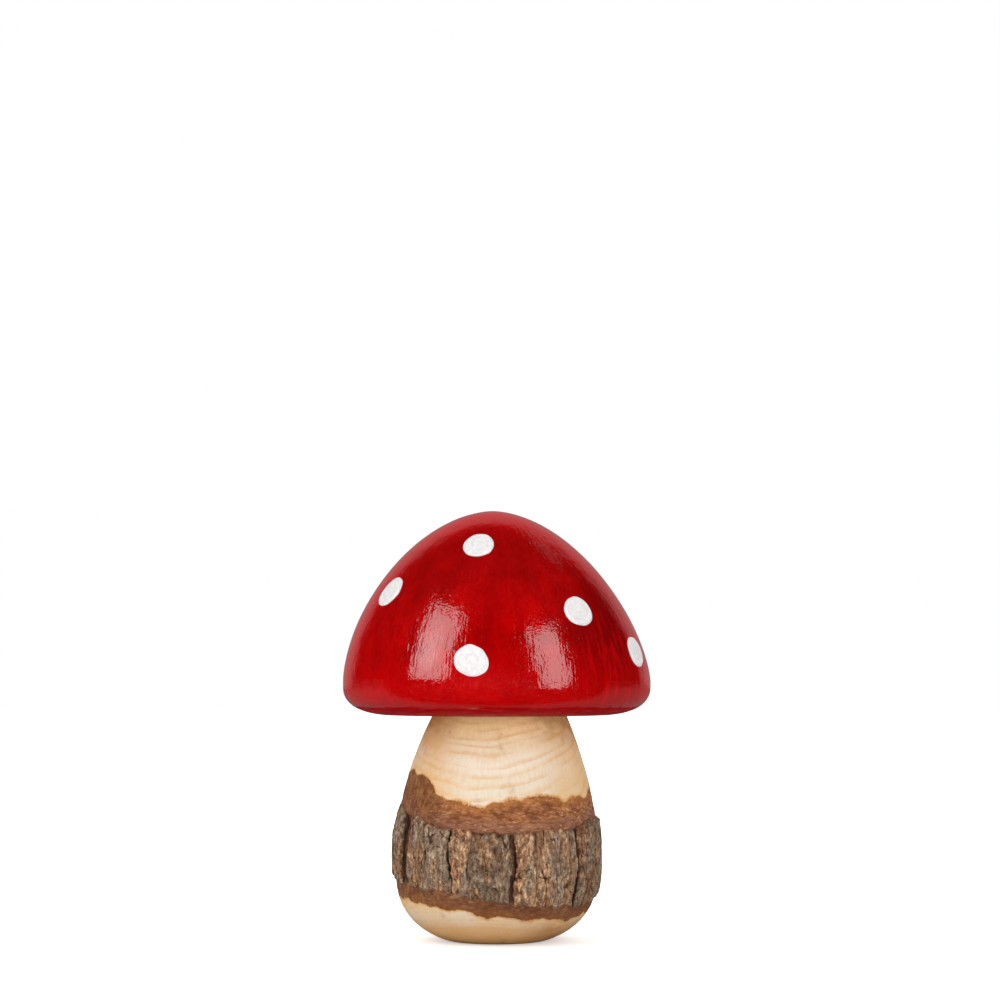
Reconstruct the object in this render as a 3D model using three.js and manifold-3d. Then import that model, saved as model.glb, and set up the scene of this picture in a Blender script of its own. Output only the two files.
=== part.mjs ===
import * as THREE from 'three';
import { mergeVertices } from 'three/addons/utils/BufferGeometryUtils.js';
import Module from 'manifold-3d';

// A turned wooden toadstool that stands on the plane z = 0, in millimetres, +Z up.
// A painted cap is dowelled and glued to a branch that was turned with part of its bark left on.
// The front faces -Y. Angles run round the upright axis from the front toward +X, in degrees.

// Stem: bare foot, bark band and bare neck, one above the other
const footHeight = 11.5;
const barkHeight = 37.6;
const neckHeight = 23.5;
const footRadius = 14.8;
const bellyRadius = 33;
const bellyHeight = 29;
const neckRadius = 21.9;
const neckShift = 0.9;
const footCurve = { flat: 3.5, round: 1.35 };
const shoulderCurve = 1.8;
const neckBend = 4;

// Bark: an inner layer let into the turned wood, with a shallow bed for the outer plates
const bedDepth = 1;
const innerBarkThickness = 0.6;
const innerBarkEdge = 0.3;
const fullDepthShare = 0.6;
const barkClearance = 0.2;
const bedAboveBarkFoot = 4.1;
const bedBelowBarkTop = 9.1;
const barkFootWave = 2;
const barkTopWave = 2.4;
const bedFootWave = 3.2;
const bedTopWave = 2;

// Outer plates
const plateHeight = 0.95;
const plateTaperLength = 5;
const plateEdgeShare = 0.4;
const lumpHeight = 0.22;
const lumpLength = 7.8;
const plateEndClearance = 0.4;
const plateEndDepth = 1.2;
const fissureWidth = 2.4;
const fissureBendWidth = 0.65;
const fissureBendLength = 19;

// Cap: rounded rim, a short upright wall and the dome
const capRadius = 50.1;
const undersideRadius = 33;
const rimHeight = 9.4;
const wallHeight = 1.7;
const domeHeight = 55.5;
const crownShift = -1.3;
const rimCurve = 2.35;
const domeCurve = { flat: 1.567, round: 1.8 };

// Joint between cap and stem
const glueThickness = 0.1;
const dowelRadius = 5;
const dowelLength = 40;
const dowelChamfer = 1;
const fluteDepth = 0.35;
const fluteCount = 14;
const dowelClearance = 0.15;
const boreClearance = 1.5;
const drillPointAngle = 118;

// Spots of thick paint
const spotRadius = 5.5;
const spotThickness = 0.5;
const spotClearance = 0.15;
const spotUnevenWidth = 0.28;

// How finely the faces are divided
const turnStepCount = 60;
const spotStepCount = 14;
const boreStepCount = 32;
const plateColumnCount = 3;
const plateRowCount = 6;
const rowCounts = { foot: 4, neck: 5, inside: 3, belowBed: 2, bed: 5, aboveBed: 3, rim: 6, dome: 14 };

// Waves of the bark's edges round the stem, each as [crests, share of the wave, angle of a crest]
const barkFootWaves = [[1, 1, -109], [2, 0.8, -76], [3, 0.25, -14], [4, 0.22, 18], [13, 0.17, 5]];
const barkTopWaves = [
  [1, 1, -119], [2, 0.85, -86], [3, 0.6, 52], [4, 0.68, 9], [5, 0.35, 26], [14, 0.17, 3],
];
const bedFootWaves = [[1, 1, -100], [2, 0.53, -78], [3, 0.22, -4]];
const bedTopWaves = [[1, 1, -121], [2, 0.9, 86], [3, 0.32, 59], [4, 0.35, 3]];

// Fissures that part the outer plates: chosen by eye at the front, spread unevenly round the back.
// Each has its share of the full width.
const frontFissureAngles = [-80, -61.5, -43, -26.5, -15, 9, 21.5, 35.5, 50, 59.5, 68.5, 82];
const frontFissureShares = [0.65, 1, 0.45, 0.95, 0.4, 0.95, 0.6, 0.4, 0.95, 0.6, 0.65, 0.65];
const backPlateCount = 14;
const backUnevenAngle = 3;
const backFissureShares = [0.4, 1];

// Radians that set the waves of each plate, fissure and spot apart from those of the last one
const phaseStep = 2.3;

// Spots, each as [angle round the cap, share of the way up the dome]
const spots = [
  [-9.6, 0.777], [-56.6, 0.512], [37.8, 0.396], [67.7, 0.169], [-8.9, 0.114], [106, 0.562],
  [133, 0.148], [160, 0.724], [178, 0.274], [220, 0.436], [252, 0.13],
];

// Heights that follow from the sizes above
const barkTop = footHeight + barkHeight;
const stemHeight = barkTop + neckHeight;
const underside = stemHeight + glueThickness;
const wallTop = underside + rimHeight + wallHeight;
const crown = wallTop + domeHeight;
const boreDepth = dowelLength / 2 + boreClearance;
const boreRadius = dowelRadius + dowelClearance;

const finishes = {
  lacquer: { color: 0xa50f1c, roughness: 0.25, metalness: 0 },
  paint: { color: 0xf3f1ec, roughness: 0.6, metalness: 0 },
  wood: { color: 0xe3c190, roughness: 0.6, metalness: 0 },
  dowelWood: { color: 0xd8b586, roughness: 0.7, metalness: 0 },
  innerBark: { color: 0x7d4d2e, roughness: 0.85, metalness: 0 },
  bark: { color: 0x77604d, roughness: 0.95, metalness: 0 },
};

const wasm = await Module();
wasm.setup();

const radians = THREE.MathUtils.degToRad;
const mix = THREE.MathUtils.lerp;

// Point at an angle round the upright axis, whose centre may drift sideways with height.
function around(angle, radius, height, drift = 0) {
  const turn = radians(angle);
  return new THREE.Vector3(drift + radius * Math.sin(turn), -radius * Math.cos(turn), height);
}

// Lathe solid whose section may change with the angle, each section point placed by a function.
function turned(sectionAt, place, steps) {
  const profile = sectionAt(0).map(([radius, height]) => new THREE.Vector2(radius, height));
  const geometry = new THREE.LatheGeometry(profile, steps);
  const position = geometry.attributes.position;
  for (let step = 0; step <= steps; step += 1) {
    const angle = ((step % steps) * 360) / steps;
    sectionAt(angle).forEach(([radius, height], index) => {
      const point = place(angle, radius, height);
      position.setXYZ(step * profile.length + index, point.x, point.y, point.z);
    });
  }
  return geometry;
}

function solidOf(geometry) {
  const bare = geometry.clone();
  bare.deleteAttribute('normal');
  bare.deleteAttribute('uv');
  const merged = mergeVertices(bare);
  return new wasm.Manifold(new wasm.Mesh({
    numProp: 3,
    vertProperties: new Float32Array(merged.attributes.position.array),
    triVerts: new Uint32Array(merged.index.array),
  }));
}

// The first geometry with the second cut out of it.
function cut(body, tool) {
  const result = solidOf(body).subtract(solidOf(tool)).getMesh();
  const geometry = new THREE.BufferGeometry();
  geometry.setAttribute('position', new THREE.BufferAttribute(result.vertProperties, 3));
  geometry.setIndex(new THREE.BufferAttribute(result.triVerts, 1));
  geometry.computeVertexNormals();
  return geometry;
}

const ornament = new THREE.Group();

function add(name, geometry, finish) {
  const mesh = new THREE.Mesh(geometry, new THREE.MeshStandardMaterial(finish));
  mesh.name = name;
  ornament.add(mesh);
}

// Evenly spaced shares from the first value to the last, both included.
function steps(from, to, count) {
  return Array.from({ length: count + 1 }, (unused, index) => mix(from, to, index / count));
}

function wavy(waves, angle) {
  return waves.reduce(
    (sum, [crests, share, crest]) => sum + share * Math.cos(crests * radians(angle - crest)),
    0,
  );
}

// Edges of the bark and of the bed for the plates, as heights that change round the stem.
function edgesAt(angle) {
  return {
    foot: footHeight + barkFootWave * wavy(barkFootWaves, angle),
    top: barkTop + barkTopWave * wavy(barkTopWaves, angle),
    bedFoot: footHeight + bedAboveBarkFoot + bedFootWave * wavy(bedFootWaves, angle),
    bedTop: barkTop - bedBelowBarkTop + bedTopWave * wavy(bedTopWaves, angle),
  };
}

// Outline that the lathe cut: an egg-shaped foot below the belly, a slimming shoulder above it.
function turnedRadius(height) {
  if (height < bellyHeight) {
    const below = 1 - height / bellyHeight;
    const share = (1 - below ** footCurve.flat) ** (1 / footCurve.round);
    return mix(footRadius, bellyRadius, share);
  }
  const above = (height - bellyHeight) / (stemHeight - bellyHeight);
  return mix(bellyRadius, neckRadius, above ** shoulderCurve);
}

// The neck bends a little to one side near its top.
const stemDrift = (height) => neckShift * (height / stemHeight) ** neckBend;
const onStem = (angle, radius, height) => around(angle, radius, height, stemDrift(height));

// Inner face of the bark: straight from one bark edge to the other, and never too near the bed.
function innerFace({ foot, top }, height) {
  const straight = mix(turnedRadius(foot), turnedRadius(top), (height - foot) / (top - foot));
  return Math.min(straight - innerBarkEdge, turnedRadius(height) - bedDepth - innerBarkThickness);
}

// The inner bark is thin at its two edges and reaches its full depth near the bed.
function barkInside(edges) {
  const nearFoot = mix(edges.foot, edges.bedFoot, fullDepthShare);
  const nearTop = mix(edges.top, edges.bedTop, fullDepthShare);
  return [
    [turnedRadius(edges.foot) - innerBarkEdge, edges.foot],
    ...steps(nearFoot, nearTop, rowCounts.inside).map((height) => [innerFace(edges, height), height]),
    [turnedRadius(edges.top) - innerBarkEdge, edges.top],
  ];
}

function stemSection(angle) {
  const edges = edgesAt(angle);
  const ledge = edges.foot - barkClearance;
  const shoulder = edges.top + barkClearance;
  const rebate = barkInside(edges);
  const last = rebate.length - 1;
  return [
    [0, 0],
    ...steps(0, 1, rowCounts.foot).map((share) => [turnedRadius(ledge * share ** 2), ledge * share ** 2]),
    ...rebate.map(([radius, height], index) => [
      radius - barkClearance,
      index === 0 ? ledge : index === last ? shoulder : height,
    ]),
    ...steps(shoulder, stemHeight, rowCounts.neck).map((height) => [turnedRadius(height), height]),
    [0, stemHeight],
  ];
}

function innerBarkSection(angle) {
  const edges = edgesAt(angle);
  const { foot, top, bedFoot, bedTop } = edges;
  const outside = [
    ...steps(foot, bedFoot, rowCounts.belowBed).map((height) => [turnedRadius(height), height]),
    ...steps(bedFoot, bedTop, rowCounts.bed).map((height) => [turnedRadius(height) - bedDepth, height]),
    ...steps(bedTop, top, rowCounts.aboveBed).map((height) => [turnedRadius(height), height]),
  ];
  return [...outside, ...barkInside(edges).reverse(), outside[0]];
}

// Value between 0 and 1 that looks random and is always the same for the same number.
function chance(number) {
  const value = Math.sin(number * 12.9898) * 43758.5453;
  return value - Math.floor(value);
}

// Fissures run round the stem from the first one at the front back to itself.
const backStart = frontFissureAngles.at(-1);
const backSpan = frontFissureAngles[0] + 360 - backStart;
const fissureAngles = [...frontFissureAngles];
const fissureShares = [...frontFissureShares];
for (let plate = 1; plate < backPlateCount; plate += 1) {
  const uneven = backUnevenAngle * Math.sin(plate * phaseStep);
  fissureAngles.push(backStart + (backSpan * plate) / backPlateCount + uneven);
  fissureShares.push(mix(...backFissureShares, chance(plate)));
}
fissureAngles.push(frontFissureAngles[0] + 360);
fissureShares.push(frontFissureShares[0]);

const widthAsAngle = (width, height) => THREE.MathUtils.radToDeg(width / turnedRadius(height));

// One side of a fissure, -1 or 1, as an angle. The fissure wanders a little as it climbs.
function fissureSide(index, side, height) {
  const start = (index % (fissureAngles.length - 1)) * phaseStep;
  const bend = fissureBendWidth * Math.sin((2 * Math.PI * height) / fissureBendLength + start);
  const halfWidth = (fissureWidth * fissureShares[index]) / 2;
  return fissureAngles[index] + widthAsAngle(bend + side * halfWidth, height);
}

// A plate is a block between two fissures, pillowed across, lumpy, and flush at both ends.
function plateGeometry(index) {
  const geometry = new THREE.BoxGeometry(1, 1, 1, plateColumnCount, plateRowCount, 1);
  const position = geometry.attributes.position;
  const endInset = (number) => plateEndClearance + chance(number) * plateEndDepth;
  for (let vertex = 0; vertex < position.count; vertex += 1) {
    const across = position.getX(vertex) + 0.5;
    const up = position.getY(vertex) + 0.5;
    const outer = position.getZ(vertex) > 0;
    const middle = mix(fissureAngles[index], fissureAngles[index + 1], across);
    const column = Math.round(across * plateColumnCount) + index * (plateColumnCount + 1);
    const edges = edgesAt(middle);
    const foot = edges.bedFoot + endInset(column);
    const top = edges.bedTop - endInset(column + 0.5);
    const height = mix(foot, top, up);
    const angle = mix(fissureSide(index, 1, height), fissureSide(index + 1, -1, height), across);
    let radius = turnedRadius(height) - bedDepth + barkClearance;
    if (outer) {
      const fromEnd = Math.min(height - foot, top - height, plateTaperLength) / plateTaperLength;
      const pillow = mix(1, plateEdgeShare, Math.abs(across * 2 - 1) ** 3);
      const climb = (2 * Math.PI * height) / lumpLength;
      const lump = Math.sin(climb + index * phaseStep) * Math.cos(2 * Math.PI * across + index);
      radius = turnedRadius(height) + (plateHeight * pillow + lumpHeight * lump) * fromEnd;
    }
    const point = onStem(angle, radius, height);
    position.setXYZ(vertex, point.x, point.y, point.z);
  }
  return geometry;
}

// Radius of the dome at a height above its wall.
function domeRadius(height) {
  const share = Math.min((height - wallTop) / domeHeight, 1);
  return capRadius * (1 - share ** domeCurve.flat) ** (1 / domeCurve.round);
}

// The crown leans to one side of the rim.
function capDrift(height) {
  const share = Math.max(height - wallTop, 0) / domeHeight;
  return crownShift * Math.sin(radians(90 * share));
}
const onCap = (angle, radius, height) => around(angle, radius, height, capDrift(height));

function capSection() {
  const rim = steps(0, 90, rowCounts.rim).map((turn) => [
    mix(undersideRadius, capRadius, Math.sin(radians(turn)) ** (2 / rimCurve)),
    underside + rimHeight * (1 - Math.cos(radians(turn)) ** (2 / rimCurve)),
  ]);
  const dome = steps(0, 90, rowCounts.dome).slice(0, -1).map((turn) => [
    capRadius * Math.cos(radians(turn)) ** (2 / domeCurve.round),
    wallTop + domeHeight * Math.sin(radians(turn)) ** (2 / domeCurve.flat),
  ]);
  return [[0, underside], ...rim, ...dome, [0, crown]];
}

const onDowelAxis = (angle, radius, height) => around(angle, radius, height, neckShift);

// Drilled hole on the dowel's axis: direction 1 goes up from the face, -1 goes down from it.
function boreTool(face, direction) {
  const overrun = boreClearance;
  const point = boreRadius / Math.tan(radians(drillPointAngle / 2));
  const profile = [
    [0, face - direction * overrun],
    [boreRadius, face - direction * overrun],
    [boreRadius, face + direction * boreDepth],
    [0, face + direction * (boreDepth + point)],
  ];
  const ordered = direction > 0 ? profile : profile.reverse();
  return turned(() => ordered, onDowelAxis, boreStepCount);
}

function dowelSection(angle) {
  const groove = Math.round((angle * fluteCount * 2) / 360) % 2;
  const side = dowelRadius - groove * fluteDepth;
  const end = dowelRadius - dowelChamfer;
  const foot = stemHeight + glueThickness / 2 - dowelLength / 2;
  const top = foot + dowelLength;
  return [
    [0, foot],
    [end, foot],
    [side, foot + dowelChamfer],
    [side, top - dowelChamfer],
    [end, top],
    [0, top],
  ];
}

// A spot is a nearly round pat of paint, laid on the dome like a small curved disc with a raised rim.
function spotSection(angle, index) {
  const oval = Math.cos(radians(2 * angle) + index);
  const corners = Math.cos(radians(3 * angle) + index * phaseStep);
  const radius = spotRadius + spotUnevenWidth * (oval + corners / 2);
  return [
    [0, spotClearance],
    [radius * 0.6, spotClearance],
    [radius, spotClearance],
    [radius, spotClearance + spotThickness * 0.4],
    [radius * 0.9, spotClearance + spotThickness],
    [radius * 0.5, spotClearance + spotThickness * 0.9],
    [0, spotClearance + spotThickness],
  ];
}

function spotGeometry(index) {
  const [centreAngle, share] = spots[index];
  const centreHeight = wallTop + domeHeight * share;
  const centreRadius = domeRadius(centreHeight);
  const nearby = spotClearance / 2;
  const slopeAt = (height) => (domeRadius(height + nearby) - domeRadius(height - nearby)) / (2 * nearby);
  const climb = 1 / Math.hypot(1, slopeAt(centreHeight));
  const place = (turn, radius, lift) => {
    const height = centreHeight - radius * Math.cos(radians(turn)) * climb;
    const sideways = (radius * Math.sin(radians(turn))) / centreRadius;
    const slope = slopeAt(height);
    const tilt = Math.hypot(1, slope);
    const angle = centreAngle + THREE.MathUtils.radToDeg(sideways);
    return onCap(angle, domeRadius(height) + lift / tilt, height - (lift * slope) / tilt);
  };
  return turned((angle) => spotSection(angle, index), place, spotStepCount);
}

const twoDigits = (number) => String(number).padStart(2, '0');

add('cap', cut(turned(capSection, onCap, turnStepCount), boreTool(underside, 1)), finishes.lacquer);
add('stem', cut(turned(stemSection, onStem, turnStepCount), boreTool(stemHeight, -1)), finishes.wood);
add('dowel_pin', turned(dowelSection, onDowelAxis, fluteCount * 2), finishes.dowelWood);
add('bark_inner', turned(innerBarkSection, onStem, turnStepCount), finishes.innerBark);
for (let index = 0; index < fissureAngles.length - 1; index += 1) {
  add(`bark_plate_${twoDigits(index + 1)}`, plateGeometry(index), finishes.bark);
}
spots.forEach((spot, index) => {
  add(`paint_spot_${twoDigits(index + 1)}`, spotGeometry(index), finishes.paint);
});

export default ornament;
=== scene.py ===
import itertools
import math

import bpy
import numpy as np
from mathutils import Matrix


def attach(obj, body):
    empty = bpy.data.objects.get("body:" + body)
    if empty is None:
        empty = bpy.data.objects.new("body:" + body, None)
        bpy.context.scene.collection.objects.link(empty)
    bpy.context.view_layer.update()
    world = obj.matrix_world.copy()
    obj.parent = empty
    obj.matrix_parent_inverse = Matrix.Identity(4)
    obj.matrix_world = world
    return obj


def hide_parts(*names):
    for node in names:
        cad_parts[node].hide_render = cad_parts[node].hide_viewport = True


# A turned wooden toadstool: a lacquered cap on a branch that kept part of its bark.
# Sizes are in millimetres, as in the part, and MM makes them metres where a mesh is placed.
# Angles run round the upright axis in degrees, from the front (-Y) toward +X.

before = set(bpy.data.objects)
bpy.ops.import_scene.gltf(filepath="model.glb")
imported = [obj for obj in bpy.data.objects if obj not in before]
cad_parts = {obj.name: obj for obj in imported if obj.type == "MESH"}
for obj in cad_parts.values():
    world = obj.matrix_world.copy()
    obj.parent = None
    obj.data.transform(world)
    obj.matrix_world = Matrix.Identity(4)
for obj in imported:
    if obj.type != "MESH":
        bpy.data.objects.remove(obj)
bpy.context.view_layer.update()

MM = 0.001

# Stem
FOOT_HEIGHT = 11.5
BARK_HEIGHT = 37.6
NECK_HEIGHT = 23.5
FOOT_RADIUS = 14.8
BELLY_RADIUS = 33
BELLY_HEIGHT = 29
NECK_RADIUS = 21.9
NECK_SHIFT = 0.9
FOOT_CURVE = (3.5, 1.35)
SHOULDER_CURVE = 1.8
NECK_BEND = 4
BARK_TOP = FOOT_HEIGHT + BARK_HEIGHT
STEM_HEIGHT = BARK_TOP + NECK_HEIGHT

# Bark: the ring of inner bark and the bed that the outer scales lie in
BED_DEPTH = 1
BARK_THICKNESS = 0.6
BARK_EDGE = 0.3
BARK_CLEARANCE = 0.2
REBATE_DEPTH = 2 * BARK_EDGE
BED_FOOT = FOOT_HEIGHT + 4.1
BED_TOP = BARK_TOP - 9.1
BARK_FOOT_WAVE = 2
BARK_TOP_WAVE = 2.4
BED_FOOT_WAVE = 3.2
BED_TOP_WAVE = 2

# Waves of these edges round the stem, each as (crests, share of the wave, angle of a crest)
BARK_FOOT_WAVES = ((1, 1, -109), (2, 0.8, -76), (3, 0.25, -14), (4, 0.22, 18), (13, 0.17, 5))
BARK_TOP_WAVES = (
    (1, 1, -119), (2, 0.85, -86), (3, 0.6, 52), (4, 0.68, 9), (5, 0.35, 26), (14, 0.17, 3),
)
BED_FOOT_WAVES = ((1, 1, -100), (2, 0.53, -78), (3, 0.22, -4))
BED_TOP_WAVES = ((1, 1, -121), (2, 0.9, 86), (3, 0.32, 59), (4, 0.35, 3))

# Where a tongue of inner bark was left standing above the rest
BARK_TONGUE = (-23.5 * MM, -18 * MM, 49.5 * MM)

# Outer scales and the fissures between them
SCALE_HEIGHT = 0.95
SCALE_END_CLEARANCE = 0.4
SCALE_SINK = 0.35
SCALE_FLARE = 0.3
FISSURE_WIDTH = 2.4
FISSURE_BEND_WIDTH = 0.65
FISSURE_BEND_LENGTH = 19
FRONT_FISSURE_ANGLES = (-80, -61.5, -43, -26.5, -15, 9, 21.5, 35.5, 50, 59.5, 68.5, 82)
FRONT_FISSURE_SHARES = (0.65, 1, 0.45, 0.95, 0.4, 0.95, 0.6, 0.4, 0.95, 0.6, 0.65, 0.65)
BACK_SCALE_COUNT = 14
BACK_UNEVEN_ANGLE = 3
BACK_FISSURE_SHARES = (0.4, 1)
PHASE_STEP = 2.3

# How far each front scale is worn, from 0, grey outer crust, to 1, red-brown inner layers
FRONT_SCALE_WEAR = (0.4, 0.95, 0, 0.7, 0.15, 0.9, 0.7, 0.8, 0.55, 0.5, 0.4)

# How far each front scale is darkened, from 0 to 1
FRONT_SCALE_SHADE = (0.6, 0.5, 0.2, 0.05, 0.95, 0.05, 0.05, 0.3, 0.85, 0.9, 0.8)

# How far below the others each front scale ends at its top, in millimetres
FRONT_SCALE_DROP = (0, 0, 0.4, 0, 0.9, 0.4, 0, 0.3, 0, 0, 0)

# How far each front fissure is closed, from below 0, wide open, to 1, shut
FRONT_FISSURE_CLOSED = (0.4, -1.1, 0.9, 0.7, 1, 0.3, 0.9, 1, 0.15, 0.8, 0.3, 0.5)

# On one side the bark thins out toward its top, as (middle angle, half its width, height of the slope)
THIN_SIDE = (-92, 32, 6)

# Cap
CAP_RADIUS = 50.1
UNDERSIDE_RADIUS = 33
RIM_HEIGHT = 9.4
WALL_HEIGHT = 1.7
DULL_HEIGHT = 2.9
DULL_EDGE_WAVE = 0.5
DOME_HEIGHT = 55.5
CROWN_SHIFT = -1.3
RIM_CURVE = 2.35
DOME_CURVE = (1.567, 1.8)
GLUE_THICKNESS = 0.1
UNDERSIDE = STEM_HEIGHT + GLUE_THICKNESS
WALL_TOP = UNDERSIDE + RIM_HEIGHT + WALL_HEIGHT

# Drilled hole for the dowel, alike in cap and stem
BORE_RADIUS = 5.15
BORE_DEPTH = 21.5
BORE_POINT = 3.1

# Spots of paint, each as (angle, share of the way up the dome)
SPOT_RADIUS = 5.5
SPOT_THICKNESS = 0.5
SPOT_CLEARANCE = 0.15
SPOT_SINK = 0.15
SPOT_UNEVEN_WIDTH = 0.28
SPOT_EDGE_ROUNDING = 0.35
SPOTS = (
    (-9.6, 0.777), (-56.6, 0.512), (37.8, 0.396), (67.7, 0.169), (-8.9, 0.114), (106, 0.562),
    (133, 0.148), (160, 0.724), (178, 0.274), (220, 0.436), (252, 0.13),
)

# Fineness of the meshes: faces round the axis, points along a profile, and spacings in millimetres
STEM_COLUMNS = 480
CAP_COLUMNS = 300
SPOT_COLUMNS = 96
FOOT_POINTS = 36
RIM_POINTS = 40
DOME_POINTS = 110
SPOT_POINTS = 20
NECK_SPACING = 0.35
BARK_SPACING = 0.28
HIDDEN_SPACING = 3
SCALE_SPACING = 0.22
SCALE_LEVELS = 3

# Numbers that scatter whole cells over 0 to 1, the same way in every run
SCATTER = (12.9898, 78.233, 37.719)
SCATTER_SCALE = 43758.5453
SEED_STEP = 17.3


def ease(share):
    """A share from 0 to 1 with a gentle start and end."""
    return share * share * (3 - 2 * share)


def smooth(low, high, value):
    """0 below low, 1 above high, with a smooth climb between them."""
    return ease(np.clip((value - low) / (high - low), 0, 1))


def mix(low, high, share):
    """The value at a share of the way from low to high."""
    return low + (high - low) * share


def bumps(points, sizes, seed=0):
    """Smooth random lumps between -1 and 1, of the given sizes along each direction."""
    place = np.asarray(points) / np.asarray(sizes, float) + seed * SEED_STEP
    cell = np.floor(place)
    part = ease(place - cell)
    total = np.zeros(len(place))
    for corner in itertools.product((0, 1), repeat=3):
        weight = np.prod(np.where(corner, part, 1 - part), axis=1)
        value = np.sin((cell + corner) @ SCATTER) * SCATTER_SCALE
        total += weight * (value - np.floor(value))
    return total * 2 - 1


def wave_sum(waves, angle):
    """How high these waves stand together at an angle."""
    return sum(share * np.cos(np.radians(crests * (angle - crest))) for crests, share, crest in waves)


def bark_edges(angle):
    """Heights of bark foot, bed foot, bed top and bark top at an angle."""
    return (
        FOOT_HEIGHT + BARK_FOOT_WAVE * wave_sum(BARK_FOOT_WAVES, angle),
        BED_FOOT + BED_FOOT_WAVE * wave_sum(BED_FOOT_WAVES, angle),
        BED_TOP + BED_TOP_WAVE * wave_sum(BED_TOP_WAVES, angle),
        BARK_TOP + BARK_TOP_WAVE * wave_sum(BARK_TOP_WAVES, angle),
    )


def turned_radius(height):
    """Radius of the turned stem at a height."""
    flat, rounding = FOOT_CURVE
    below = np.clip(1 - height / BELLY_HEIGHT, 0, 1)
    foot = mix(FOOT_RADIUS, BELLY_RADIUS, (1 - below**flat) ** (1 / rounding))
    above = np.clip((height - BELLY_HEIGHT) / (STEM_HEIGHT - BELLY_HEIGHT), 0, 1)
    return np.where(height < BELLY_HEIGHT, foot, mix(BELLY_RADIUS, NECK_RADIUS, above**SHOULDER_CURVE))


def stem_drift(height):
    """The neck bends a little to one side near its top."""
    return NECK_SHIFT * np.clip(height / STEM_HEIGHT, 0, 1) ** NECK_BEND


def dome_radius(height):
    """Radius of the dome at a height."""
    flat, rounding = DOME_CURVE
    share = np.clip((height - WALL_TOP) / DOME_HEIGHT, 0, 1)
    return CAP_RADIUS * (1 - share**flat) ** (1 / rounding)


def cap_drift(height):
    """The crown leans to one side of the rim."""
    share = np.clip((height - WALL_TOP) / DOME_HEIGHT, 0, 1)
    return CROWN_SHIFT * np.sin(np.radians(90 * share))


def around(angle, radius, height, drift=0):
    """Points at an angle round the upright axis, whose centre may drift sideways."""
    turn = np.radians(angle)
    return np.column_stack((drift + radius * np.sin(turn), -radius * np.cos(turn), height))


def vertices(piece):
    """The piece's points in millimetres."""
    flat = np.zeros(len(piece.data.vertices) * 3)
    piece.data.vertices.foreach_get("co", flat)
    return flat.reshape(-1, 3) / MM


def place_vertices(piece, points):
    """Moves the piece's points to places given in millimetres."""
    piece.data.vertices.foreach_set("co", (points * MM).ravel())
    piece.data.update()


def note(piece, name, values):
    """Keeps one number for each point, which the finishes read."""
    attribute = piece.data.attributes.new(name, "FLOAT", "POINT")
    attribute.data.foreach_set("value", np.asarray(values, np.float32))


def angle_and_radius(points):
    """Angle round the upright axis and distance from it."""
    return np.degrees(np.arctan2(points[:, 0], -points[:, 1])), np.hypot(points[:, 0], points[:, 1])


def start_editing(name):
    """Names the primitive just added and opens it with everything selected."""
    piece = bpy.context.object
    piece.name = name
    bpy.ops.object.mode_set(mode="EDIT")
    bpy.ops.mesh.select_all(action="SELECT")
    return piece


def close_up():
    """Merges the seam and poles, turns the faces outwards and leaves edit mode."""
    bpy.ops.mesh.select_all(action="SELECT")
    bpy.ops.mesh.remove_doubles(threshold=0.002 * MM)
    bpy.ops.mesh.normals_make_consistent(inside=False)
    bpy.ops.object.mode_set(mode="OBJECT")


def turn_on_lathe(name, profile, columns):
    """Solid turned about the upright axis from (radius, height) points, listed from axis to axis."""
    bpy.ops.object.select_all(action="DESELECT")
    bpy.ops.mesh.primitive_plane_add(size=MM)
    piece = start_editing(name)
    bpy.ops.mesh.merge(type="CENTER")
    radius, height = profile[0]
    bpy.ops.transform.translate(value=(0, -radius * MM, height * MM))
    for (radius, height), (next_radius, next_height) in itertools.pairwise(profile):
        step = (0, (radius - next_radius) * MM, (next_height - height) * MM)
        bpy.ops.mesh.extrude_region_move(TRANSFORM_OT_translate={"value": step})
    bpy.ops.mesh.select_all(action="SELECT")
    bpy.ops.mesh.spin(steps=columns, angle=2 * math.pi, center=(0, 0, 0), axis=(0, 0, 1))
    close_up()
    return piece


def soften(piece, degrees):
    """Smooth shading, with a crisp edge wherever the faces meet at more than this angle."""
    bpy.ops.object.select_all(action="DESELECT")
    bpy.context.view_layer.objects.active = piece
    piece.select_set(True)
    bpy.ops.object.shade_smooth_by_angle(angle=math.radians(degrees))


def finish_piece(piece, finish, slot, *nodes):
    """Gives a piece its finish and its place in the assembly."""
    piece.data.materials.clear()
    piece.data.materials.append(finish)
    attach(piece, "root")
    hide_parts(*nodes)


def rows(low, high, spacing):
    """Evenly spaced values from low to high, about this far apart."""
    return np.linspace(low, high, max(int(abs(high - low) / spacing), 1) + 1)


# Stem and inner bark

def follow_edges(angle, height):
    """Moves the heights of a level blank to where the wavy bark edges are at each angle."""
    level = (0, FOOT_HEIGHT, BED_FOOT, BED_TOP, BARK_TOP, STEM_HEIGHT)
    wavy = (np.zeros_like(angle), *bark_edges(angle), np.full_like(angle, STEM_HEIGHT))
    moved = height.copy()
    for (low, high), (start, end) in zip(itertools.pairwise(level), itertools.pairwise(wavy)):
        inside = (height >= low) & (height <= high)
        moved = np.where(inside, mix(start, end, (height - low) / (high - low)), moved)
    return moved


def inner_face(angle, height):
    """Radius of the hidden joint between wood and bark."""
    foot, _, _, top = bark_edges(angle)
    chord = mix(turned_radius(foot), turned_radius(top), (height - foot) / (top - foot))
    return np.minimum(chord - BARK_EDGE, turned_radius(height) - BED_DEPTH - BARK_THICKNESS)


def note_edges(piece, angle, height):
    """How far each point lies inside the bark and inside the bed, in millimetres."""
    foot, bed_foot, bed_top, top = bark_edges(angle)
    note(piece, "inside_bark", np.minimum(height - foot, top - height))
    note(piece, "inside_bed", np.minimum(height - bed_foot, bed_top - height))


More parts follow.
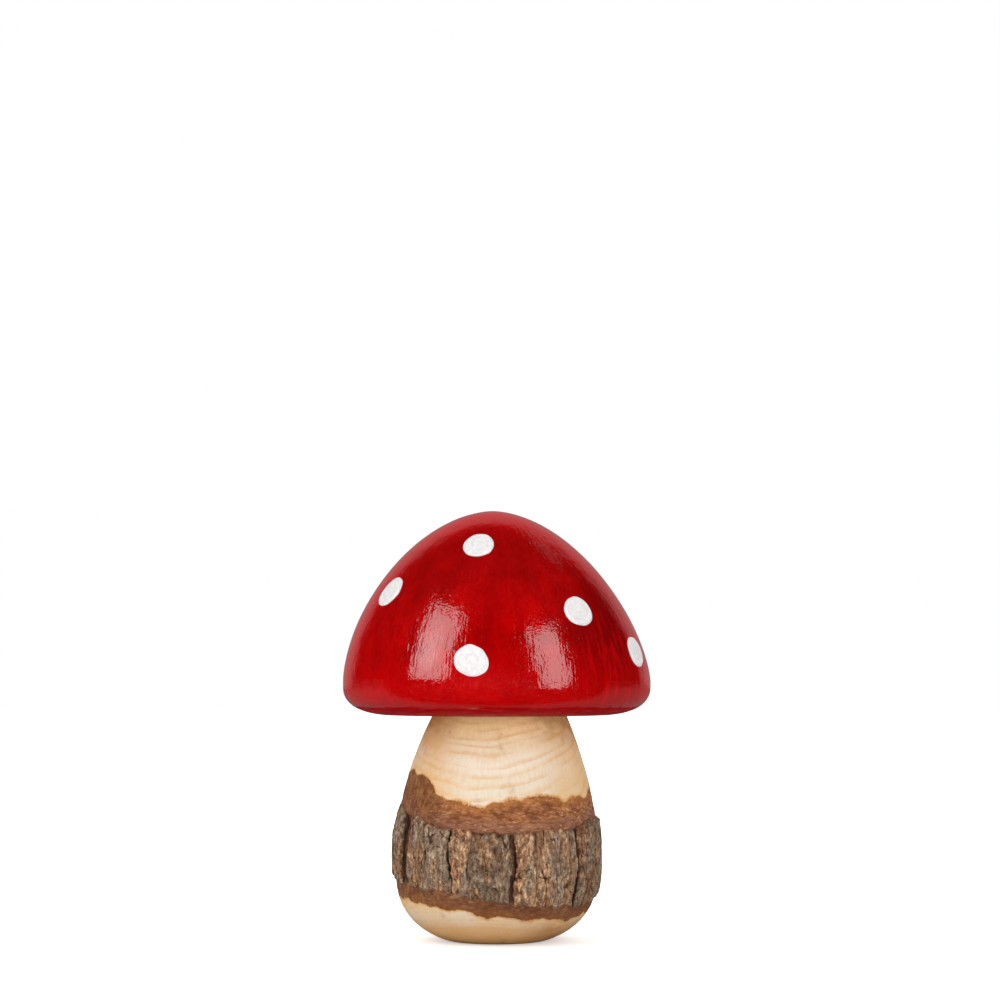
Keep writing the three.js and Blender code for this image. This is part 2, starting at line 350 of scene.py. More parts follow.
def turned_profile(heights, inset=0):
    """Points (radius, height) of the turned face, or of one that lies this far inside it."""
    return [(float(turned_radius(height)) - inset, height) for height in heights]


def make_stem():
    """The turned branch, with a rebate for the bark and a drilled hole for the dowel."""
    foot = turned_profile(FOOT_HEIGHT * np.linspace(0, 1, FOOT_POINTS) ** 1.5)
    rebate = turned_profile(rows(FOOT_HEIGHT, BARK_TOP, HIDDEN_SPACING), REBATE_DEPTH)
    neck = turned_profile(rows(BARK_TOP, STEM_HEIGHT, NECK_SPACING))
    bore_end = STEM_HEIGHT - BORE_DEPTH
    profile = [
        (0, 0), (6, 0), (11, 0), *foot, *rebate, *neck, (14, STEM_HEIGHT),
        (BORE_RADIUS, STEM_HEIGHT), (BORE_RADIUS, bore_end), (0, bore_end - BORE_POINT),
    ]
    stem = turn_on_lathe("turned_stem", profile, STEM_COLUMNS)
    points = vertices(stem)
    angle, radius = angle_and_radius(points)
    inset = turned_radius(points[:, 2]) - radius
    bore = (radius < BORE_RADIUS + 0.1) & (points[:, 2] > bore_end - BORE_POINT - 1)
    hidden = (inset > BARK_EDGE) & (inset < 2 * REBATE_DEPTH) & ~bore
    shell = np.abs(inset) < BARK_EDGE
    height = np.where(hidden | shell, follow_edges(angle, points[:, 2]), points[:, 2])
    edge = np.minimum(*(np.abs(height - level) for level in bark_edges(angle)[::3]))
    tool_marks = 0.02 * bumps(np.column_stack((angle / 20, height, angle * 0)), (1, 1.1, 1))
    hollows = 0.06 * bumps(points, (11, 11, 8), seed=2)
    radius = np.where(shell, turned_radius(height) + (tool_marks + hollows) * smooth(0, 2, edge), radius)
    radius = np.where(hidden, inner_face(angle, height) - BARK_CLEARANCE, radius)
    drift = np.where(bore, NECK_SHIFT, stem_drift(height))
    place_vertices(stem, around(angle, radius, height, drift))
    note_edges(stem, angle, height)
    soften(stem, 35)
    return stem


def make_inner_bark():
    """The ring of inner bark in that rebate. Its face sinks into a bed where the outer scales lie."""
    outside = turned_profile(rows(FOOT_HEIGHT, BARK_TOP, BARK_SPACING))
    inside = turned_profile(rows(BARK_TOP, FOOT_HEIGHT, HIDDEN_SPACING), REBATE_DEPTH)
    ring = turn_on_lathe("inner_bark_ring", [*outside, *inside, outside[0]], STEM_COLUMNS)
    points = vertices(ring)
    angle, radius = angle_and_radius(points)
    hidden = turned_radius(points[:, 2]) - radius > BARK_EDGE
    height = follow_edges(angle, points[:, 2])
    foot, bed_foot, bed_top, top = bark_edges(angle)
    in_bark = np.minimum(height - foot, top - height)
    in_bed = np.minimum(height - bed_foot, bed_top - height)
    on_face = around(angle, BELLY_RADIUS, height)
    fibres = bumps(on_face, (2.2, 2.2, 0.8), seed=3)
    lumps = bumps(on_face, (3.0, 3.0, 1.7), seed=4)
    crumbs = bumps(on_face, (0.7, 0.7, 0.6), seed=5)
    relief = 0.09 * fibres + 0.13 * lumps + 0.07 * crumbs
    strings = bumps(on_face, (0.9, 0.9, 4.5), seed=24)
    relief = (relief + 0.12 * strings * smooth(0, 1, in_bed)) * (1 + 0.8 * smooth(0, 1.5, in_bed)) - 0.1
    outline = turned_radius(height) - BED_DEPTH * smooth(0.2, 3.2, in_bed)
    radius = np.where(hidden, inner_face(angle, height), outline + relief * smooth(0, 1.4, in_bark))
    place_vertices(ring, around(angle, radius, height, stem_drift(height)))
    note_edges(ring, angle, height)
    soften(ring, 50)
    return ring


# Scales of outer bark

def chance(number):
    """Value between 0 and 1 that looks random and is always the same for the same number."""
    value = np.sin(np.asarray(number) * SCATTER[0]) * SCATTER_SCALE
    return value - np.floor(value)


def fissure_places():
    """Angle and share of the full width of every fissure, with the first repeated at the end."""
    angles = list(FRONT_FISSURE_ANGLES)
    shares = list(FRONT_FISSURE_SHARES)
    start = angles[-1]
    span = angles[0] + 360 - start
    for scale in range(1, BACK_SCALE_COUNT):
        uneven = BACK_UNEVEN_ANGLE * math.sin(scale * PHASE_STEP)
        angles.append(start + span * scale / BACK_SCALE_COUNT + uneven)
        shares.append(mix(*BACK_FISSURE_SHARES, float(chance(scale))))
    return angles + [angles[0] + 360], shares + [shares[0]]


FISSURE_ANGLES, FISSURE_SHARES = fissure_places()


def fissure_side(index, side, height, ragged):
    """One side of a fissure, -1 or 1, as an angle: it wanders as it climbs and has a ragged edge."""
    start = (index % (len(FISSURE_ANGLES) - 1)) * PHASE_STEP
    bend = FISSURE_BEND_WIDTH * np.sin(2 * math.pi * height / FISSURE_BEND_LENGTH + start)
    width = bend + side * (FISSURE_WIDTH * FISSURE_SHARES[index] / 2 + ragged)
    return FISSURE_ANGLES[index] + np.degrees(width / turned_radius(height))


def closing(index, height, seed):
    """How far one side of a fissure leans over it: here and there it almost closes."""
    place = np.column_stack((height, height * 0 + index, height * 0))
    index = index % (len(FISSURE_ANGLES) - 1)
    lean = of_front(index, FRONT_FISSURE_CLOSED, mix(1.1, 0.1, FISSURE_SHARES[index]))
    lean = lean + 0.45 * bumps(place, (6.5, 1, 1), seed=seed)
    teeth = 0.3 * bumps(place, (1.5, 1, 1), seed=seed + 1) + 0.16 * bumps(place, (0.6, 1, 1), seed=seed + 2)
    return np.clip(lean, -1.2, 1) * FISSURE_WIDTH * FISSURE_SHARES[index] / 2 + teeth


def of_front(index, front_values, other):
    """The value listed for a scale or fissure at the front, or another one for those behind."""
    return front_values[index] if index < len(front_values) else other


def of_scale(index, front_values, seed):
    """A scale's value between 0 and 1, listed for the front ones and random for the others."""
    return of_front(index, front_values, float(chance(index + seed)))


def scale_blank(name, columns, lines):
    """Flat plate one unit square whose border is drawn down in levels and closed underneath."""
    bpy.ops.object.select_all(action="DESELECT")
    bpy.ops.mesh.primitive_grid_add(x_subdivisions=columns, y_subdivisions=lines, size=1)
    piece = start_editing(name)
    bpy.ops.mesh.region_to_loop()
    for _ in range(SCALE_LEVELS):
        bpy.ops.mesh.extrude_region_move(TRANSFORM_OT_translate={"value": (0, 0, -1)})
    bpy.ops.mesh.edge_face_add()
    close_up()
    return piece


def worn_face(index, on_face):
    """Relief of a scale's face, its roughness for the shading, and what is left of its upper layers."""
    wear = of_scale(index, FRONT_SCALE_WEAR, 0.37)
    edges = 0.35 * bumps(on_face, (2.2, 2.2, 2.2), seed=12) + 0.12 * bumps(on_face, (0.8, 0.8, 0.9), seed=23)
    flakes = bumps(on_face, (3.4, 3.4, 7.5), seed=13 + index % 4) + edges
    crust = smooth(0.0, 0.07, flakes + mix(0.5, -0.35, wear))
    under_crust = smooth(0.0, 0.08, flakes + mix(1.0, 0.25, wear))
    ridges = bumps(on_face, (1.6, 1.6, 6.5), seed=10 + index % 3)
    lumps = bumps(on_face, (1.3, 1.3, 1.6), seed=17)
    grain = bumps(on_face, (0.62, 0.62, 0.7), seed=18)
    strings = bumps(on_face, (0.7, 0.7, 3.2), seed=25)
    rough = 0.18 * ridges + 0.22 * lumps + 0.2 * grain + 0.1 * strings
    cracks = 1 - np.abs(bumps(on_face, (3, 3, 3.4), seed=14)) / 0.08
    cracks = np.clip(cracks, 0, 1) * smooth(0.0, 0.5, bumps(on_face, (4, 4, 4), seed=15))
    splits = np.clip(1 - np.abs(bumps(on_face, (2.4, 2.4, 12), seed=16)) / 0.09, 0, 1)
    splits = splits * smooth(0.1, 0.5, bumps(on_face, (5, 5, 7), seed=26))
    relief = 0.34 * crust + 0.3 * under_crust - 0.45 + rough * mix(1, 0.6, crust)
    return relief - 0.35 * cracks - 0.4 * splits, rough - cracks - splits, crust, under_crust


def make_scale(index):
    """One scale of outer bark between two fissures."""
    width = math.radians(FISSURE_ANGLES[index + 1] - FISSURE_ANGLES[index]) * BELLY_RADIUS
    columns = max(round(width / SCALE_SPACING), 12)
    lines = round((BED_TOP - BED_FOOT) / SCALE_SPACING)
    piece = scale_blank(f"bark_scale_{index + 1:02d}", columns, lines)
    blank = vertices(piece) * MM
    across = blank[:, 0] + 0.5
    up = blank[:, 1] + 0.5
    down = -blank[:, 2] / SCALE_LEVELS

    middle = mix(FISSURE_ANGLES[index], FISSURE_ANGLES[index + 1], across)
    _, bed_foot, bed_top, _ = bark_edges(middle)
    torn = around(middle, BELLY_RADIUS, np.zeros_like(middle))
    foot = bed_foot + SCALE_END_CLEARANCE + 0.9 * bumps(torn, (1.7, 1.7, 1), seed=6)
    drop = of_scale(index, FRONT_SCALE_DROP, 0.53)
    top = bed_top - SCALE_END_CLEARANCE - drop + 1.0 * bumps(torn, (1.5, 1.5, 1), seed=7)
    height = mix(foot, top, up)
    flare = SCALE_FLARE * down
    ragged_left = -closing(index, height, 8) - flare
    ragged_right = -closing(index + 1, height, 27) - flare
    left = fissure_side(index, 1, height, ragged_left)
    right = fissure_side(index + 1, -1, height, ragged_right)
    angle = mix(left, right, across)

    from_side = np.minimum(across, 1 - across) * width
    from_end = np.minimum(height - foot, top - height)
    on_face = around(angle, BELLY_RADIUS, height)
    relief, rough, crust, under_crust = worn_face(index, on_face)
    sides = mix(0.62, 1, smooth(0, 0.6, from_side))
    middle_angle, half_width, slope_height = THIN_SIDE
    from_middle = np.abs((angle - middle_angle + 180) % 360 - 180)
    thin_top = smooth(half_width, half_width / 2, from_middle) * (top - height < height - foot)
    taper = mix(1.1 + 0.8 * bumps(on_face, (2.2, 2.2, 60), seed=19), slope_height, thin_top)
    crown = sides * mix(0.1, 1, smooth(0, taper, from_end))
    raised = SCALE_HEIGHT * crown + relief * mix(0.35, 1, smooth(0, 1.2, from_end))
    base = -BED_DEPTH * smooth(0.2, 2.6, from_end + SCALE_END_CLEARANCE) - SCALE_SINK
    radius = turned_radius(height) + mix(raised, base, down)
    place_vertices(piece, around(angle, radius, height, stem_drift(height)))
    # The relief that the finish reads sinks lowest down the walls, where it lays painted shade
    note(piece, "relief", mix(rough - 0.5 * SCALE_HEIGHT * (1 - sides), -1.4, down))
    note(piece, "crust", mix(crust, 0, down))
    note(piece, "under_crust", mix(under_crust, 0, down))
    note(piece, "from_end", from_end)
    note(piece, "shade", np.full(len(across), of_scale(index, FRONT_SCALE_SHADE, 0.71)))
    soften(piece, 70)
    return piece


# Cap and its spots

def make_cap():
    """The turned cap: flat underside, rounded rim, dome, and a drilled hole for the dowel."""
    turns = np.radians(np.linspace(0, 90, RIM_POINTS))
    rim = np.column_stack((
        mix(UNDERSIDE_RADIUS, CAP_RADIUS, np.sin(turns) ** (2 / RIM_CURVE)),
        UNDERSIDE + RIM_HEIGHT * (1 - np.abs(np.cos(turns)) ** (2 / RIM_CURVE)),
    ))
    turns = np.radians(np.linspace(0, 90, DOME_POINTS))
    heights = WALL_TOP + DOME_HEIGHT * np.sin(turns) ** (2 / DOME_CURVE[0])
    heights[-1] = WALL_TOP + DOME_HEIGHT
    dome = np.column_stack((dome_radius(heights), heights))
    bore_end = UNDERSIDE + BORE_DEPTH
    profile = [
        (0, bore_end + BORE_POINT), (BORE_RADIUS, bore_end), (BORE_RADIUS, UNDERSIDE),
        *((radius, UNDERSIDE) for radius in (10, 16, 22, 28)),
        *map(tuple, rim.tolist()), *map(tuple, dome.tolist()),
    ]
    cap = turn_on_lathe("lacquered_cap", profile, CAP_COLUMNS)
    points = vertices(cap)
    angle, radius = angle_and_radius(points)
    height = points[:, 2]
    outside = smooth(30, 36, np.hypot(radius, height - UNDERSIDE))
    uneven = 0.07 * bumps(points, (13, 13, 13), seed=20) + 0.03 * bumps(points, (5, 5, 7), seed=21)
    drift = cap_drift(height)
    bore = smooth(16, BORE_RADIUS, radius) * (1 - smooth(bore_end + 4, bore_end + 8, height))
    drift = mix(drift, NECK_SHIFT, bore)
    middle = UNDERSIDE + RIM_HEIGHT
    away = np.column_stack((points[:, 0], points[:, 1], height - middle))
    away = away / np.linalg.norm(away, axis=1)[:, None]
    shaped = around(angle, radius, height, drift) + away * (uneven * outside)[:, None]
    place_vertices(cap, shaped)
    soften(cap, 35)
    return cap


def dull_underside(cap, finish):
    """The underside and the last of the rim above it are brushed once and never rubbed to a gloss."""
    cap.data.materials.append(finish)
    middles = np.array([tuple(face.center) for face in cap.data.polygons]) / MM
    edge = UNDERSIDE + DULL_HEIGHT + DULL_EDGE_WAVE * bumps(middles, (4, 4, 40), seed=9)
    cap.data.polygons.foreach_set("material_index", (middles[:, 2] < edge).astype(np.int32))


def dome_slope(height):
    """How much the dome's radius changes for each millimetre of height."""
    return (dome_radius(height + 0.05) - dome_radius(height - 0.05)) / 0.1


def make_spot(index):
    """A thick dab of paint, laid on the dome with a swirl of the brush and a raised edge."""
    centre_angle, share = SPOTS[index]
    profile = [(SPOT_RADIUS * part, 1.0) for part in np.linspace(0, 1, SPOT_POINTS)]
    profile += [(SPOT_RADIUS, level) for level in (0.8, 0.55, 0.3, 0)]
    profile += [(SPOT_RADIUS * 0.5, 0), (0, 0)]
    spot = turn_on_lathe(f"spot_of_paint_{index + 1:02d}", profile, SPOT_COLUMNS)
    blank = vertices(spot)
    turn, radius = angle_and_radius(blank)
    out = radius / SPOT_RADIUS
    oval = np.cos(np.radians(2 * turn) + index)
    corners = np.cos(np.radians(3 * turn) + index * PHASE_STEP)
    rough = bumps(around(turn, 3.0, turn * 0), (1.3, 1.3, 1), seed=30 + index)
    reach = SPOT_RADIUS + SPOT_UNEVEN_WIDTH * (oval + corners / 4 + 0.6 * rough) - SPOT_UNEVEN_WIDTH
    edge = smooth(0.75, 1, out)
    bulge = np.sqrt(np.clip(1 - (1 - blank[:, 2]) ** 2, 0, 1))
    radius = out * (reach - SPOT_EDGE_ROUNDING * (1 - smooth(0, 0.8, 1 - blank[:, 2])) * edge)
    wander = bumps(around(turn, 2.0, turn * 0), (2.5, 2.5, 1), seed=60 + index)
    swirl = np.sin(out * 14 + np.radians(turn) * (1 + index % 2) + index + 2.5 * wander)
    lumpy = bumps(around(turn, radius, turn * 0), (1.2, 1.2, 1), seed=40 + index)
    top = SPOT_CLEARANCE + SPOT_THICKNESS * (
        0.72 + 0.16 * smooth(0.5, 0.85, out) - 0.35 * smooth(0.88, 1, out) + 0.03 * swirl + 0.06 * lumpy
    )
    lift = mix(-SPOT_SINK, top, bulge)

    centre_height = WALL_TOP + DOME_HEIGHT * share
    climb = 1 / math.hypot(1, float(dome_slope(np.array(centre_height))))
    height = centre_height - radius * np.cos(np.radians(turn)) * climb
    sideways = radius * np.sin(np.radians(turn)) / float(dome_radius(np.array(centre_height)))
    slope = dome_slope(height)
    tilt = np.hypot(1, slope)
    angle = centre_angle + np.degrees(sideways)
    lifted = height - lift * slope / tilt
    place_vertices(spot, around(angle, dome_radius(height) + lift / tilt, lifted, cap_drift(lifted)))
    note(spot, "thickness", lift)
    note(spot, "stroke", swirl + lumpy)
    bpy.context.view_layer.objects.active = spot
    bpy.ops.object.mode_set(mode="EDIT")
    close_up()
    soften(spot, 60)
    return spot


# Finishes

# Shades from dark to light, as a picture shows them from 0 to 255, and their places on a pattern
INNER_BARK_PLACES = (0.37, 0.46, 0.54, 0.63)
INNER_BARK_SHADES = ((100, 56, 32), (138, 84, 50), (164, 107, 66), (192, 138, 90))
LACQUER_PLACES = (0.38, 0.5, 0.62)
LACQUER_SHADES = ((142, 0, 1), (163, 0, 1), (182, 1, 2))

# The outer bark has three such rows: its grey crust, the tan layers and the red-brown ones
BARK_PLACES = (0.36, 0.45, 0.54, 0.63)
BARK_SHADES = (
    ((72, 55, 43), (128, 105, 86), (164, 138, 114), (214, 190, 162)),
    ((80, 52, 35), (142, 103, 74), (184, 141, 104), (236, 202, 162)),
    ((70, 42, 28), (126, 81, 55), (164, 110, 76), (218, 168, 126)),
)

# Growth rings, in millimetres: their spacing, and where the pith lies from the axis
RING_SPACING = 1
PITH = (-0.5, -3.4)


def colour(red, green, blue):
    """A colour as a picture shows it, from 0 to 255, in the linear form that nodes take."""
    shares = (value / 255 for value in (red, green, blue))
    return (*(s / 12.92 if s <= 0.04045 else ((s + 0.055) / 1.055) ** 2.4 for s in shares), 1)


class Nodes:
    """Short words for the nodes that a material or the room is made of."""

    def __init__(self, tree):
        self.tree = tree

    def node(self, kind, *inputs, **settings):
        """A node with its inputs given in order, as numbers, colours or sockets."""
        node = self.tree.nodes.new("ShaderNode" + kind)
        for name, value in settings.items():
            setattr(node, name, value)
        for socket, value in zip(node.inputs, inputs):
            self.feed(socket, value)
        return node

    def feed(self, socket, value):
        if isinstance(value, bpy.types.NodeSocket):
            self.tree.links.new(value, socket)
        elif value is not None:
            socket.default_value = value

    def math(self, operation, *values):
        return self.node("Math", *values, operation=operation).outputs[0]

    def times(self, first, second):
        return self.math("MULTIPLY", first, second)

    def plus(self, first, second):
        return self.math("ADD", first, second)

    def minus(self, first, second):
        return self.math("SUBTRACT", first, second)

    def vector(self, operation, *values):
        return self.node("VectorMath", *values, operation=operation).outputs[0]

    def measure(self, operation, *values):
        return self.node("VectorMath", *values, operation=operation).outputs["Value"]

    def ramp(self, value, places, shades):
        """Colours at places between 0 and 1 on a value, blended in between."""
        node = self.node("ValToRGB", value)
        elements = node.color_ramp.elements
        while len(elements) < len(places):
            elements.new(0.5)
        for element, place, shade in zip(elements, places, shades):
            element.position = place
            element.color = colour(*shade)
        return node.outputs["Color"]

    def climb(self, value, low, high, start=0, end=1):
        """Smooth climb from start to end as the value goes from low to high."""
        node = self.node("MapRange", value, low, high, start, end, interpolation_type="SMOOTHSTEP")
        return node.outputs[0]

    def blend(self, share, first, second, kind="MIX"):
        node = self.node("Mix", data_type="RGBA", blend_type=kind)
        for name, value in (("Factor_Float", share), ("A_Color", first), ("B_Color", second)):
            self.feed(next(s for s in node.inputs if s.identifier == name), value)
        return next(s for s in node.outputs if s.identifier == "Result_Color")

    def tint(self, base, where, strength, shade):
        """The base with a shade laid over it, at most this strongly, where a value says."""
        return self.blend(self.times(where, strength), base, colour(*shade))


class Finish(Nodes):
    """A material under construction."""

    def __init__(self, name):
        self.material = bpy.data.materials.new(name)
        self.material.use_nodes = True
        super().__init__(self.material.node_tree)
        self.shader = self.tree.nodes["Principled BSDF"]

    def set(self, **values):
        for name, value in values.items():
            self.shader.inputs[name.replace("_", " ")].default_value = value

    def drive(self, name, socket):
        self.tree.links.new(socket, self.shader.inputs[name])

    def place(self):
        return self.node("TexCoord").outputs["Object"]

    def attribute(self, name):
        return self.node("Attribute", attribute_name=name).outputs["Fac"]

    def noise(self, sizes, detail=3, roughness=0.55, shift=0, where=None):
        """Cloudy pattern whose lumps have these sizes in millimetres along X, Y and Z."""
        mapping = self.node("Mapping", where or self.place())
        mapping.inputs["Location"].default_value = (shift, shift * 0.7, shift * 1.3)
        mapping.inputs["Scale"].default_value = [1 / (size * MM) for size in sizes]
        texture = self.node("TexNoise", mapping.outputs[0])
        texture.inputs["Scale"].default_value = 1
        texture.inputs["Detail"].default_value = detail
        texture.inputs["Roughness"].default_value = roughness
        return texture.outputs["Fac"]

    def line_noise(self, value, size, shift=0):
        """Irregular bands along one distance, about this many millimetres apart."""
        along = self.math("MULTIPLY_ADD", value, 1 / (size * MM), shift)
        texture = self.node("TexNoise", noise_dimensions="1D")
        self.feed(texture.inputs["W"], along)
        texture.inputs["Scale"].default_value = 1
        texture.inputs["Detail"].default_value = 1
        return texture.outputs["Fac"]

    def bump(self, height, distance, strength, normal=None):
        """Fine relief of this depth in millimetres."""
        node = self.node("Bump")
        node.inputs["Strength"].default_value = strength
        node.inputs["Distance"].default_value = distance * MM
        self.feed(node.inputs["Height"], height)
        self.feed(node.inputs["Normal"], normal)
        return node.outputs["Normal"]


def growth_rings(finish):
    """Late wood of each ring round a pith that lies nearer the front, and broader bands of good years."""
    pith = finish.node("Mapping", finish.place())
    pith.inputs["Location"].default_value = (-PITH[0] * MM, -PITH[1] * MM, 0)
    pith.inputs["Scale"].default_value = (1, 1, 0.02)
    distance = finish.measure("LENGTH", pith.outputs[0])
    waver = finish.noise((22, 22, 30), detail=1, shift=3)
    distance = finish.plus(distance, finish.times(waver, 1.6 * MM))
    count = finish.math("DIVIDE", distance, RING_SPACING * MM)
    count = finish.plus(count, finish.line_noise(distance, 3.1))
    across = finish.math("FRACT", count)
    late = finish.times(finish.climb(across, 0.35, 0.85), finish.climb(across, 1.0, 0.88))
    uneven = finish.climb(finish.noise((14, 14, 4), shift=5), 0.38, 0.66, 0.05, 1)
    late = finish.times(late, uneven)
    return late, finish.climb(finish.line_noise(distance, 2.6, shift=40), 0.35, 0.65)


def wood_colour(finish):
    """Pale turned wood: growth rings, patches and fibres, browner at the sides near the cap and at the right
    of the foot; painted shade darkens its sides and everything below the neck, and painted light turns it
    golden just under the cap.
    """
    late, bands = growth_rings(finish)
    base = finish.blend(bands, colour(241, 229, 208), colour(238, 221, 193))
    parts = finish.node("SeparateXYZ", finish.place()).outputs
    # Painted shade: everything below the neck is a little darker
    painted_shade_low_on_stem = finish.climb(parts["Z"], 60 * MM, 48 * MM)
    base = finish.blend(painted_shade_low_on_stem, base, (0.87, 0.87, 0.86, 1), kind="MULTIPLY")
    patches = finish.climb(finish.noise((22, 22, 9), shift=8), 0.5, 0.76, 0, 0.3)
    # Painted shade: the wood darkens toward its left and right sides, less so near the foot
    off_middle = finish.math("ABSOLUTE", finish.minus(parts["X"], 2 * MM))
    painted_shade = finish.climb(off_middle, 9 * MM, 24 * MM, 0, 0.6)
    painted_shade = finish.times(painted_shade, finish.climb(parts["Z"], 4 * MM, 18 * MM, 0.3, 1))
    # Painted light: just under the cap the wood turns golden, to make up for the cap's shade
    high = finish.climb(parts["Z"], 58 * MM, 73 * MM)
    base = finish.blend(high, base, colour(255, 223, 159))
    low = finish.climb(parts["Z"], 12 * MM, 2.5 * MM, 0, 0.85)
    cloudy = finish.climb(finish.noise((10, 10, 6), detail=4, shift=9), 0.3, 0.7, 0.7, 1.2)
    # Darker where the painted shade of the sides falls, toward the foot, and in random patches
    darker = finish.times(finish.math("MAXIMUM", painted_shade, low), cloudy)
    darker = finish.math("MAXIMUM", darker, patches)
    base = finish.blend(darker, base, colour(228, 174, 98))
    base = finish.tint(base, low, 0.35, (202, 138, 70))
    base = finish.tint(base, late, 0.5, (224, 170, 88))
    fibres = finish.climb(finish.noise((0.9, 0.9, 6), detail=4, shift=11), 0.35, 0.7)
    base = finish.tint(base, fibres, 0.14, (196, 150, 104))
    stain = finish.climb(finish.noise((8, 8, 9), detail=4, roughness=0.6, shift=14), 0.6, 0.76)
    base = finish.tint(base, stain, 0.45, (178, 122, 70))
    right = finish.climb(parts["X"], 5 * MM, 19 * MM)
    sides = finish.math("MAXIMUM", right, finish.climb(parts["X"], -10 * MM, -20 * MM, 0, 0.7))
    collar = finish.times(sides, finish.climb(parts["Z"], 62 * MM, 70 * MM))
    heel = finish.times(right, finish.climb(parts["Z"], 12 * MM, 4 * MM))
    streaky = finish.climb(finish.noise((5, 5, 3), shift=15), 0.3, 0.6, 0.35, 1)
    brown = finish.times(finish.math("MAXIMUM", collar, heel), streaky)
    base = finish.tint(base, brown, 0.55, (170, 108, 56))
    specks = finish.climb(finish.noise((0.7, 0.7, 0.9), detail=2, shift=17), 0.72, 0.78)
    return finish.tint(base, specks, 0.45, (150, 98, 54))


def inner_bark_colour(finish, in_bark, in_bed):
    """Red-brown inner bark: smeared by the turning tool, with light flecks, dark near the scales, and
    painted shade on its left side and toward the foot.
    """
    fibres = finish.noise((1.7, 1.7, 0.8), detail=6, roughness=0.6, shift=21)
    blotches = finish.noise((6.5, 6.5, 3.2), detail=5, roughness=0.5, shift=24)
    tone = finish.plus(finish.times(fibres, 0.5), finish.times(blotches, 0.5))
    base = finish.ramp(tone, INNER_BARK_PLACES, INNER_BARK_SHADES)
    parts = finish.node("SeparateXYZ", finish.place()).outputs
    foot = finish.climb(parts["Z"], 20 * MM, 14 * MM)
    waver = finish.times(finish.minus(blotches, 0.5), 12)
    low = finish.climb(finish.plus(in_bed, waver), -4.0, -0.8)
    above = finish.climb(foot, 1, 0, 0.3, 0.62)
    base = finish.blend(finish.times(low, above), base, colour(130, 88, 72))
    flecks = finish.climb(finish.noise((2.1, 2.1, 0.8), shift=27), 0.58, 0.68)
    base = finish.tint(base, flecks, 0.45, (222, 170, 122))
    scratches = finish.climb(finish.noise((3.4, 3.4, 0.8), roughness=0.5, shift=29), 0.53, 0.62)
    base = finish.tint(base, scratches, 0.55, (98, 50, 26))
    cuts = finish.climb(finish.noise((2.2, 2.2, 2.8), detail=5, roughness=0.6, shift=28), 0.55, 0.65)
    base = finish.tint(base, cuts, 0.5, (108, 58, 30))
    golden = finish.climb(in_bark, 3.4, 0.4)
    base = finish.tint(base, golden, 0.4, (168, 104, 44))
    # Painted shade: darker on the left side and toward the foot
    left = finish.climb(parts["X"], -11 * MM, -24 * MM)
    painted_shade = finish.math("MAXIMUM", foot, left)
    base = finish.tint(base, painted_shade, 0.55, (90, 50, 26))
    sinews = finish.climb(finish.noise((1.5, 1.5, 4.5), detail=4, shift=26), 0.48, 0.64)
    sinews = finish.times(sinews, left)
    base = finish.tint(base, sinews, 0.4, (178, 120, 66))
    strings = finish.climb(finish.noise((0.8, 0.8, 4), detail=4, roughness=0.6, shift=30), 0.42, 0.62)
    bed = finish.blend(strings, colour(66, 41, 31), colour(120, 79, 58))
    return finish.blend(finish.climb(in_bed, 0.5, 1.8, 0, 0.95), base, bed), tone


def wood_and_bark(name):
    """The turned face of the branch, where pale wood gives way to inner bark along a torn edge."""
    finish = Finish(name)
    wood = wood_colour(finish)
    in_bark = finish.attribute("inside_bark")
    bark, tone = inner_bark_colour(finish, in_bark, finish.attribute("inside_bed"))
    tear = finish.noise((4.6, 4.6, 3.6), detail=5, roughness=0.36, shift=31)
    hairs = finish.noise((0.5, 0.5, 2.2), detail=2, shift=32)
    tongue = finish.measure("DISTANCE", finish.place(), BARK_TONGUE)
    depth = finish.plus(in_bark, finish.climb(tongue, 7.5 * MM, 1.5 * MM, 0, 3.2))
    depth = finish.plus(depth, finish.times(finish.minus(tear, 0.5), 4.2))
    depth = finish.plus(depth, finish.times(finish.minus(hairs, 0.5), 1.1))
    golden = finish.climb(depth, -1.1, -0.05)
    wood = finish.tint(wood, golden, 0.85, (204, 144, 74))
    is_bark = finish.climb(depth, -0.16, 0.22)
    finish.drive("Base Color", finish.blend(is_bark, wood, bark))
    rough = finish.climb(is_bark, 0, 1, 0.5, 0.86)
    finish.drive("Roughness", finish.plus(rough, finish.times(tone, 0.1)))
    grain = finish.noise((0.35, 0.35, 3.5), detail=4, shift=34)
    fibres = finish.noise((2.2, 2.2, 0.8), detail=5, roughness=0.58, shift=37)
    relief = finish.times(is_bark, fibres)
    normal = finish.bump(grain, 0.03, 0.4)
    normal = finish.bump(relief, 0.2, 0.8, normal)
    finish.drive("Normal", normal)
    finish.set(Specular_IOR_Level=0.3)
    return finish.material


